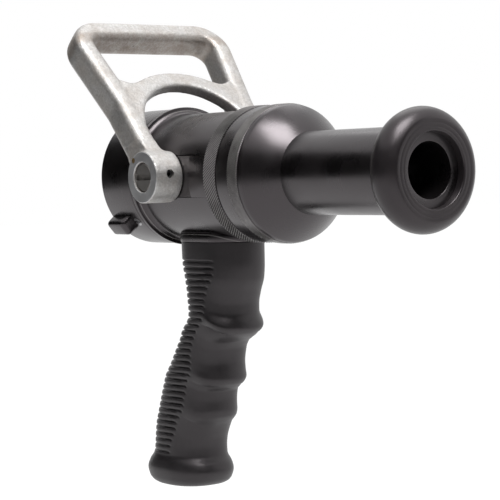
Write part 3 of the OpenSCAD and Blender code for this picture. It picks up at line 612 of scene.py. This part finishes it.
# Half of the bar, swept from the hub to the middle of the crossbar. In the bail's own plane X is its
# depth, Y runs across and Z is the height above the pivot.
def sweepHalfBar(s):
    bm = bmesh.new()
    halfDepth, halfWidth = s["armDepth"] / 2, s["armWidth"] / 2
    signs = [(-1, -1), (1, -1), (1, 1), (-1, 1)]
    verts = [bm.verts.new((i * halfDepth * mm, (j * halfWidth - s["armY"]) * mm, 0)) for i, j in signs]
    bm.faces.new(verts)
    bmesh.ops.bevel(bm, geom=verts, offset=s["corner"] * mm, offset_type="OFFSET", affect="VERTICES",
                    segments=5, profile=0.5, material=-1)
    splay = math.radians(s["splay"])
    lean = Matrix.Rotation(splay, 3, "X")
    bendTurn = math.pi / 2 + splay
    bendRun = s["bend"] * math.tan(bendTurn / 2)
    slant = ((s["barHeight"] - s["knee"]) / math.cos(splay) - bendRun) * mm
    along = lean @ Vector((0, 0, 1))
    inward = lean @ Vector((0, 1, 0))
    knee = Vector((0, -s["armY"], s["knee"])) * mm
    halfLean = Matrix.Rotation(splay / 2, 3, "X")
    end = bm.faces[:][0]

    def extrudeEnd(face):
        grown = bmesh.ops.extrude_face_region(bm, geom=[face])["geom"]
        return [g for g in grown if isinstance(g, bmesh.types.BMFace)][0]

    end = extrudeEnd(end)
    bmesh.ops.translate(bm, vec=(0, 0, s["knee"] * mm), verts=end.verts[:])
    bmesh.ops.rotate(bm, cent=knee, matrix=halfLean, verts=end.verts[:])
    end = extrudeEnd(end)
    bmesh.ops.translate(bm, vec=along * slant, verts=end.verts[:])
    bmesh.ops.rotate(bm, cent=knee + along * slant, matrix=halfLean, verts=end.verts[:])
    centre = knee + along * slant + inward * s["bend"] * mm
    step = Matrix.Rotation(-bendTurn / s["bendSteps"], 3, "X")
    for i in range(s["bendSteps"]):
        end = extrudeEnd(end)
        bmesh.ops.rotate(bm, cent=centre, matrix=step, verts=end.verts[:])
    end = extrudeEnd(end)
    bmesh.ops.translate(bm, vec=(0, -end.calc_center_median().y, 0), verts=end.verts[:])
    return bm


# A flat outline across the bail, thickened along its depth
def depthPlate(points, front, back):
    bm = bmesh.new()
    face = bm.faces.new([bm.verts.new((front * mm, y * mm, z * mm)) for y, z in points])
    thicken(bm, face, ((back - front) * mm, 0, 0))
    return bm


# The web between the arms: an arch below, an arch above that flares out to meet the arms
def makeArch(s):
    points = []
    for i in range(25):
        y = 32 * (i / 12 - 1)
        lift = max(0.0, abs(y) - 22) ** 2 * 0.085
        points.append((y, s["archOuterS"] + math.sqrt(s["archOuter"] ** 2 - y * y) + lift))
    for i in range(33):
        a = math.radians(12 + 156 * i / 32)
        points.append((s["archInner"] * math.cos(a), s["archInnerS"] + s["archInner"] * math.sin(a)))
    footY, footTop = s["archFoot"]
    points += [(-footY, s["archInnerS"] + 6), (-footY, footTop)]
    points.insert(25, (footY, footTop))
    points.insert(26, (footY, s["archInnerS"] + 6))
    front = s["armDepth"] / 2 - s["archInset"]
    return depthPlate(points, front, front - s["archDepth"])


# Wedges that bevel the machined face at its rim and at the stem's bore
def hubChamfers(s, side):
    c, out = s["chamfer"], s["hubOut"]
    for r, away in ((s["stem"] - 0.05, 1), (s["hub"] + 0.12, -1)):
        wedge = bmesh.new()
        points = [(r + away * (c + 0.05), out + 0.05), (r - away * 0.6, out + 0.05),
                  (r - away * 0.6, out - c - 0.65), (r, out - c)]
        corners = [wedge.verts.new((radius * mm, side * y * mm, 0)) for radius, y in points]
        wedge.faces.new(corners)
        bmesh.ops.delete(wedge, geom=wedge.faces[:], context="FACES_ONLY")
        bmesh.ops.spin(wedge, geom=wedge.verts[:] + wedge.edges[:], cent=(0, 0, 0), axis=(0, 1, 0),
                       angle=math.tau, steps=96, use_merge=True)
        bmesh.ops.remove_doubles(wedge, verts=wedge.verts[:], dist=1e-6)
        bmesh.ops.recalc_face_normals(wedge, faces=wedge.faces[:])
        yield wedge


def makeBail(s):
    bm = sweepHalfBar(s)
    copy = bm.copy()
    bmesh.ops.scale(copy, vec=(1, -1, 1), verts=copy.verts[:])
    joinInto(bm, copy)
    # The two halves meet on the middle face, which goes
    bmesh.ops.remove_doubles(bm, verts=bm.verts[:], dist=1e-6)
    inner = [f for f in bm.faces if all(abs(v.co.y) < 1e-6 for v in f.verts)]
    bmesh.ops.delete(bm, geom=inner, context="FACES")
    bmesh.ops.recalc_face_normals(bm, faces=bm.faces[:])
    joinInto(bm, makeArch(s))
    halfDepth = s["armDepth"] / 2
    for side in (-1, 1):
        hub = bmesh.new()
        bar(hub, (0, side * (s["hubIn"] - 1), 0), (0, side * (s["hubOut"] + 1), 0), s["hub"] + 0.12, 96)
        joinInto(bm, hub)
        # A neck fills the corner between the arm and the hub on both sides of the arm
        neck = [(-halfDepth - 3.2, 4.0), (halfDepth + 3.2, 4.0), (halfDepth + 2.3, 6.8),
                (halfDepth + 1.2, 9.2), (halfDepth + 0.4, 12.0), (halfDepth, 16.5), (-halfDepth, 16.5),
                (-halfDepth - 0.4, 12.0), (-halfDepth - 1.2, 9.2), (-halfDepth - 2.3, 6.8)]
        plate = bmesh.new()
        inY, outY = s["armY"] - s["armWidth"] / 2 + 1.0, s["armY"] + s["armWidth"] / 2 - 0.6
        face = plate.faces.new([plate.verts.new((x * mm, side * inY * mm, z * mm)) for x, z in neck])
        thicken(plate, face, (0, side * (outY - inY) * mm, 0))
        joinInto(bm, plate)
    piece = makeMesh("cast_bail", bm)
    fused = piece.modifiers.new("fused", "REMESH")
    fused.mode = "VOXEL"
    fused.voxel_size = s["voxel"] * mm
    applyModifiers(piece)
    soft = bmesh.new()
    soft.from_mesh(piece.data)
    for i in range(s["smoothing"]):
        bmesh.ops.smooth_vert(soft, verts=soft.verts[:], factor=0.5, use_axis_x=True, use_axis_y=True,
                              use_axis_z=True)
    # The hubs' outer and inner faces are machined flat
    for side in (-1, 1):
        for reach, outward in ((s["hubOut"], 1), (s["hubIn"], -1)):
            near = [f for f in soft.faces if side * f.calc_center_median().y > 0
                    and f.calc_center_median().z < (s["hub"] + 3) * mm]
            geom = list({v for f in near for v in f.verts}) + list({e for f in near for e in f.edges}) + near
            cut = bmesh.ops.bisect_plane(soft, geom=geom, dist=1e-7, plane_co=(0, side * reach * mm, 0),
                                         plane_no=(0, side * outward, 0), clear_outer=True)
            rims = [e for e in cut["geom_cut"] if isinstance(e, bmesh.types.BMEdge)]
            bmesh.ops.holes_fill(soft, edges=rims, sides=0)
    soft.to_mesh(piece.data)
    soft.free()
    cuts = bmesh.new()
    bar(cuts, (0, -60, 0), (0, 60, 0), s["stem"], 96)
    for side in (-1, 1):
        a = math.radians(90 + s["screwTurn"])
        out = Vector((math.sin(a), 0, math.cos(a)))
        base = Vector((0, side * s["armY"], 0))
        bar(cuts, base + out * 3, base + out * 24, s["screw"], 32)
        pinFoot = side * (s["hubOut"] - s["pinDepth"])
        bar(cuts, (0, pinFoot, s["pinHeight"]), (0, side * 50, s["pinHeight"]), s["pin"], 32)
    cutAway(piece, cuts)
    for side in (-1, 1):
        for wedge in hubChamfers(s, side):
            cutAway(piece, wedge)
    lean = Matrix.Rotation(-math.radians(bailTilt), 4, "Y")
    piece.data.transform(Matrix.Translation(Vector((pivotX, 0, 0)) * mm) @ lean)
    settle(piece, "bail_assembly", castMetal, ["bail"], 38)


makeBail(bail)
print("bail made")

saddle = {"middle": 54.1, "length": 46.6, "width": 31.0, "height": 5.2, "top": 2.2, "seam": 0.35}


def ovalRing(bm, length, width, segments, z):
    ring = bmesh.ops.create_circle(bm, cap_ends=False, segments=segments, radius=width / 2 * mm)["verts"]
    shift = (length - width) / 2 * mm
    for v in ring:
        v.co.x += math.copysign(shift, v.co.x) if abs(v.co.x) > 1e-7 else 0
        v.co.z = z * mm
    return ring


def makeSaddle(s):
    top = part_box("grip")[1].z / mm
    bm = bmesh.new()
    ring = ovalRing(bm, s["length"], s["width"], 96, 0)
    face = bm.faces.new(sorted(ring, key=lambda v: math.atan2(v.co.y, v.co.x)))
    thicken(bm, face, (0, 0, s["height"] * mm))
    rim = [e for e in bm.edges if all(v.co.z > (s["height"] - 0.1) * mm for v in e.verts)]
    bmesh.ops.bevel(bm, geom=rim, offset=s["top"] * mm, offset_type="OFFSET", affect="EDGES", segments=6,
                    profile=0.5, material=-1)
    foot = [e for e in bm.edges if all(v.co.z < 0.1 * mm for v in e.verts)]
    bmesh.ops.bevel(bm, geom=foot, offset=s["seam"] * mm, offset_type="OFFSET", affect="EDGES", segments=2,
                    profile=0.5, material=-1)
    bmesh.ops.translate(bm, vec=Vector((s["middle"], 0, top)) * mm, verts=bm.verts[:])
    settle(makeMesh("saddle_pad", bm), "body", blackShell, ["grip_saddle"], 24)


makeSaddle(saddle)
print("saddle made")

# Rows: depth below the top and how far the back or the front lies from the saddle's middle
grip = {
    "middle": saddle["middle"], "length": 118.3, "halfWidth": 15.5, "power": 2.4, "step": 0.375,
    "around": 120, "droop": 5.4, "footInset": 0.8, "footRecess": 0.25,
    "screwX": 56.0, "rake": 15, "wellDepth": 65.2, "well": 8.0,
    "back": [(0, -23.3), (10, -22.9), (17, -20.9), (24.5, -18.5), (32, -17.7), (36, -18.1), (40, -20.7),
             (43, -22.7), (46.5, -24.2), (50.5, -27.3), (58, -33.3), (65, -38.8), (69, -40.4), (76, -43.6),
             (80, -45.0), (84, -46.1), (88, -47.5), (95, -48.8), (101, -49.6), (104, -50.6), (107.5, -53.6),
             (111.5, -55.3), (115, -53.9), (117.3, -51.4), (118.3, -48.9)],
    "front": [(0, 23.3), (10, 23.1), (17, 22.1), (24.5, 18.5), (30, 16.6), (34, 16.4), (38, 18.0),
              (40.5, 18.5), (43, 17.0), (44.6, 14.6), (46, 11.6), (48, 7.8), (52, 4.9), (58, 4.0),
              (62, 4.6), (65.5, 4.9), (67.8, 3.8), (69.7, 1.6), (72, -1.4), (77, -2.5), (81, -2.4),
              (84, -3.2), (86.5, -5.2), (89, -7.4), (92.7, -9.7), (96.5, -11.4), (100.4, -12.0),
              (104.2, -11.6), (108, -8.8), (111.5, -7.8), (115.3, -9.4), (117.3, -11.4), (118.3, -13.6)],
    "extra": [(0, 0), (97, 0), (103.5, 0.1), (107, 1.2), (111, 2.0), (115, 1.6), (117.3, 0.4), (118.3, -1.0)],
    "seams": [(37.8, 1.1, 0.25), (63.6, 0.8, 0.50), (81.6, 0.55, 0.55)],
    "ribPitch": 3.0, "firstRib": 9.2, "lastRib": 103.4, "ribDepth": 1.05,
    "ribEnd": [(0, 10.5), (15, 10.3), (21, 6.7), (28, 4.0), (34, 3.6), (40, -1.4), (46.5, -5.8), (52, -8.1),
               (62, -9.2), (68, -12.6), (74, -15.0), (81, -17.2), (86, -21.1), (93, -24.0), (100, -27.5),
               (113, -30.0)],
}


# Smooth curve through a table's rows
def lookUp(table, at):
    if at <= table[0][0]:
        return table[0][1]
    if at >= table[-1][0]:
        return table[-1][1]
    i = next(k for k in range(len(table) - 1) if table[k][0] <= at <= table[k + 1][0])
    (x0, y0), (x1, y1) = table[i], table[i + 1]
    here = (y1 - y0) / (x1 - x0)

    def slope(k):
        if k <= 0 or k >= len(table) - 1:
            return here
        before = (table[k][1] - table[k - 1][1]) / (table[k][0] - table[k - 1][0])
        after = (table[k + 1][1] - table[k][1]) / (table[k + 1][0] - table[k][0])
        return 0 if before * after <= 0 else 2 * before * after / (before + after)

    t, span = (at - x0) / (x1 - x0), x1 - x0
    return (y0 * (1 + 2 * t) * (1 - t) ** 2 + y1 * t * t * (3 - 2 * t)
            + slope(i) * span * t * (1 - t) ** 2 - slope(i + 1) * span * t * t * (1 - t))


def ease(value, low, high):
    t = min(max((value - low) / (high - low), 0.0), 1.0)
    return t * t * (3 - 2 * t)


def placeGripRing(ring, depth, s):
    hang = s["droop"] * ease(depth, 10, 30) * (1 - ease(depth, 88, 102))
    back, front = lookUp(s["back"], depth), lookUp(s["front"], depth + hang)
    reach, middle = (front - back) / 2, (front + back) / 2
    for i, v in enumerate(ring):
        turn = math.tau * i / len(ring)
        c, d = math.cos(turn), math.sin(turn)
        across = math.copysign(abs(d) ** (2 / s["power"]), d)
        x = middle + reach * math.copysign(abs(c) ** (2 / s["power"]), c)
        wide = s["halfWidth"] + lookUp(s["extra"], depth)
        for seam, swell, start in s["seams"]:
            forward = ease(c, start - 0.25, start + 0.25)
            over = math.exp(-((depth - seam + 3.2) / 2.6) ** 2) if depth < seam else 0.0
            under = math.exp(-abs(depth - seam) / (0.5 if depth < seam else 3.2))
            wide += forward * swell * (over - 1.1 * under)
        down = depth + hang * ease(c, -0.1, 0.9)
        # Grooves between the ribs run round the back and end part way along each side
        ribs = max(0.0, math.cos(math.tau * (down - s["firstRib"]) / s["ribPitch"])) ** 2
        if not s["firstRib"] - 1 < down < s["lastRib"] + 1:
            ribs = 0.0
        ribEnd = lookUp(s["ribEnd"], down)
        cut = s["ribDepth"] * ribs * (1 - ease(x, ribEnd - 0.6, ribEnd + 0.6))
        normal = Vector((c * abs(c) ** 0.2 / reach, d * abs(d) ** 0.2 / wide))
        if normal.length:
            normal.normalize()
        v.co = Vector((s["middle"] + x - cut * normal.x, across * wide - cut * normal.y, -down)) * mm


def makeGrip(s):
    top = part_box("grip")[1].z
    bm = bmesh.new()
    ring = bmesh.ops.create_circle(bm, cap_ends=False, segments=s["around"], radius=0.01)["verts"]
    ring = sorted(ring, key=lambda v: math.atan2(v.co.y, v.co.x) % math.tau)
    placeGripRing(ring, 0, s)
    for v in ring:
        v.co.x += (s["middle"] * mm - v.co.x) * 0.012
        v.co.y *= 0.98
    first = ring
    edges = bm.edges[:]
    depths = [0.25] + [s["step"] * k for k in range(1, int(s["length"] / s["step"]) + 1)] + [s["length"]]
    for depth in depths:
        grown = bmesh.ops.extrude_edge_only(bm, edges=edges)["geom"]
        fresh = [g for g in grown if isinstance(g, bmesh.types.BMVert)]
        edges = [g for g in grown if isinstance(g, bmesh.types.BMEdge)]
        # The new ring keeps the old one's order
        order = {v: i for i, v in enumerate(ring)}
        partner = {}
        for v in fresh:
            for e in v.link_edges:
                other = e.other_vert(v)
                if other in order:
                    partner[order[other]] = v
        ring = [partner[i] for i in range(len(order))]
        placeGripRing(ring, depth, s)
    bm.faces.new(list(reversed(first)))
    foot = bm.faces.new(ring)
    bmesh.ops.recalc_face_normals(bm, faces=bm.faces[:])
    bmesh.ops.inset_region(bm, faces=[foot], thickness=s["footInset"] * mm, depth=0)
    bmesh.ops.translate(bm, vec=(0, 0, s["footRecess"] * mm), verts=foot.verts[:])
    for v in bm.verts:
        v.co.z += top
    piece = makeMesh("moulded_grip", bm)
    rake = math.radians(s["rake"])
    way = Vector((-math.sin(rake), 0, -math.cos(rake)))
    start = Vector((s["screwX"], 0, top / mm))
    well = bmesh.new()
    bar(well, start + way * s["wellDepth"], start + way * 130, s["well"], 64)
    cutAway(piece, well)
    settle(piece, "body", gripPlastic, ["grip"], 42)


makeGrip(grip)
print("grip made")


# White paper for the camera and for reflections, and a shaded floor under it that keeps the shadow
def makeFloor(top, glow):
    bm = bmesh.new()
    bmesh.ops.create_grid(bm, x_segments=1, y_segments=1, size=8)
    bmesh.ops.translate(bm, vec=(0, 0, top), verts=bm.verts[:])
    floor = makeMesh("floor", bm)
    material = bpy.data.materials.new("floor_paper")
    material.use_nodes = True
    tree = material.node_tree
    paper = tree.nodes["Principled BSDF"]
    paper.inputs["Base Color"].default_value = (0.9, 0.9, 0.9, 1)
    paper.inputs["Roughness"].default_value = 0.9
    paper.inputs["Specular IOR Level"].default_value = 0.0
    white = addNode(tree, "ShaderNodeEmission", {"Color": (1, 1, 1, 1), "Strength": glow})
    mixed = addNode(tree, "ShaderNodeMixShader", {0: calc(tree, "MULTIPLY", seenDirectly(tree), 0.8),
                                                  1: paper.outputs[0], 2: white.outputs[0]})
    tree.links.new(mixed.outputs[0], tree.nodes["Material Output"].inputs["Surface"])
    floor.data.materials.append(material)


def seenDirectly(tree):
    path = addNode(tree, "ShaderNodeLightPath").outputs
    return calc(tree, "MAXIMUM", calc(tree, "MAXIMUM", path["Is Camera Ray"], path["Is Glossy Ray"]),
                path["Is Transmission Ray"])


def makeWorld(level):
    world = bpy.data.worlds.new("studio")
    bpy.context.scene.world = world
    world.use_nodes = True
    tree = world.node_tree
    sky = tree.nodes["Background"]
    sky.inputs["Color"].default_value = (1, 1, 1, 1)
    tree.links.new(remap(tree, seenDirectly(tree), 0, 1, level, 1.0), sky.inputs["Strength"])


def aimAt(made, place, target):
    way = (Vector(target) - Vector(place)).to_track_quat("-Z", "Y").to_matrix().to_4x4()
    made.matrix_world = Matrix.Translation(Vector(place)) @ way


def makeLamp(name, place, target, size, watts):
    data = bpy.data.lights.new(name, "AREA")
    data.shape = "RECTANGLE"
    data.size, data.size_y = size
    data.energy = watts
    lamp = bpy.data.objects.new(name, data)
    bpy.context.scene.collection.objects.link(lamp)
    aimAt(lamp, place, target)


# A curved black curtain round the camera's side of the studio, which only reflections see
def makeCurtain(s):
    bm = bmesh.new()
    start = math.radians(s["from"])
    foot = Vector((s["radius"] * math.cos(start), s["radius"] * math.sin(start), s["low"]))
    ends = [bm.verts.new(foot), bm.verts.new(foot + Vector((0, 0, s["high"] - s["low"])))]
    edge = bm.edges.new(ends)
    bmesh.ops.spin(bm, geom=ends + [edge], cent=(0, 0, 0), axis=(0, 0, 1), steps=48,
                   angle=math.radians(s["to"] - s["from"]))
    curtain = makeMesh("curtain", bm)
    material = bpy.data.materials.new("curtain_cloth")
    material.use_nodes = True
    cloth = material.node_tree.nodes["Principled BSDF"]
    cloth.inputs["Base Color"].default_value = (0.01, 0.01, 0.01, 1)
    cloth.inputs["Roughness"].default_value = 1.0
    cloth.inputs["Specular IOR Level"].default_value = 0.0
    curtain.data.materials.append(material)
    curtain.location = (0.09, 0, 0)
    curtain.visible_camera = curtain.visible_diffuse = curtain.visible_shadow = False
    curtain.visible_transmission = False


curtain = {"radius": 1.5, "low": -0.24, "high": 1.04, "from": -178, "to": 38}
studio = {"world": 0.28, "floor": -0.27, "floorGlow": 1.22, "middle": (0.09, 0, 0)}
# Each lamp's place, size and watts
lamps = {"key_softbox": ((0.62, -0.15, 1.02), 0.62, 15), "back_softbox": ((-0.5, 0.6, 1.2), 0.9, 3.0),
         "front_fill": ((1.3, 1.1, 0.5), 0.7, 1.5)}
makeFloor(studio["floor"], studio["floorGlow"])
makeWorld(studio["world"])
for name, (place, size, watts) in lamps.items():
    makeLamp(name, place, studio["middle"], (size, size), watts)
makeCurtain(curtain)

# The camera stands off the tip's right side, level with the flow axis, rolled a little
eye = Vector((739.26, -502.86, 1.80)) * mm
right, up, forward = (0.60457, 0.79609, -0.02717), (-0.01884, 0.04839, 0.99865), (-0.79633, 0.60324, -0.04425)
lens = bpy.data.cameras.new("camera")
lens.sensor_width, lens.lens = 36, 129.024
lens.clip_start, lens.clip_end = 0.05, 30
camera = bpy.data.objects.new("camera", lens)
bpy.context.scene.collection.objects.link(camera)
camera.matrix_world = Matrix([(right[i], up[i], -forward[i], eye[i]) for i in range(3)] + [(0, 0, 0, 1)])
bpy.context.scene.camera = camera
bpy.context.scene.view_settings.view_transform = "Standard"
print("stage made")
